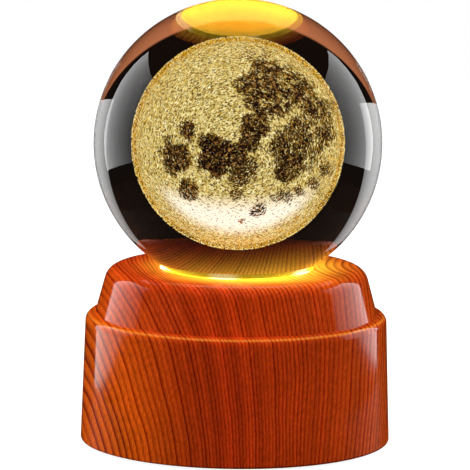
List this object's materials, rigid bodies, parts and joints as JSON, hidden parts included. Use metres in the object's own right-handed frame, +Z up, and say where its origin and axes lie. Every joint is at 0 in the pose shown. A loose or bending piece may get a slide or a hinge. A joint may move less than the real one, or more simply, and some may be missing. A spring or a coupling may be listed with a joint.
{
  "type": "crystal ball night light",
  "caption": "Solid glass ball with a laser-engraved moon, resting in the seat ring of a two-tier turned wooden base that holds a warm LED module, a USB power socket and a push switch.",
  "frame": {"origin": "on the table, under the middle of the base", "axes": "+Z up through the middle of the base and the ball, front towards -Y, socket and button at the back towards +Y"},
  "size_m": [0.0646, 0.0646, 0.0929],
  "materials": {
    "optical_glass": "polished optical glass",
    "engraved_glass": "laser-made micro-cracks lit warm from below",
    "lacquered_softwood": "red-stained softwood under gloss lacquer",
    "translucent_silicone": "translucent moulded silicone",
    "frosted_acrylic": "frosted",
    "white_abs": "moulded",
    "white_board": "white solder mask",
    "led_phosphor": "silicone over phosphor",
    "black_ceramic": "moulded epoxy",
    "zinc_steel": "bright zinc plate",
    "black_abs": "fine moulded texture",
    "button_abs": "satin moulded",
    "foot_rubber": "matt",
    "green_board": "green solder mask",
    "tinned_steel": "tin plate",
    "red_pvc": "PVC insulation",
    "black_pvc": "PVC insulation"
  },
  "bodies": {
    "base": {"wooden_base": "lacquered_softwood", "seat_ring": "translucent_silicone", "light_diffuser": "frosted_acrylic", "reflector_ring": "white_abs", "led_board": "white_board", "led_chips": "led_phosphor", "led_resistors": "black_ceramic", "led_board_screws": "zinc_steel", "bottom_cover": "black_abs", "bottom_cover_screws": "zinc_steel", "rubber_feet": "foot_rubber", "rear_panel": "black_abs", "control_board": "green_board", "control_board_screws": "zinc_steel", "control_chips": "black_ceramic", "usb_socket_shell": "tinned_steel", "usb_socket_tongue": "black_abs", "switch_body": "black_abs", "lead_red": "red_pvc", "lead_black": "black_pvc"},
    "ball": {"crystal_ball": "optical_glass", "engraved_moon": "engraved_glass"},
    "button": {"switch_plunger": "white_abs", "button_cap": "button_abs"}
  },
  "joints": [
    {"name": "ball_lift", "type": "slide", "parent": "base", "child": "ball", "axis": [0, 0, 1], "range_m": [0, 0.03]},
    {"name": "button_press", "type": "slide", "parent": "base", "child": "button", "axis": [0, -1, 0], "range_m": [0, 0.0015], "stiffness_N_per_m": 400, "springref_m": -0.0015}
  ]
}
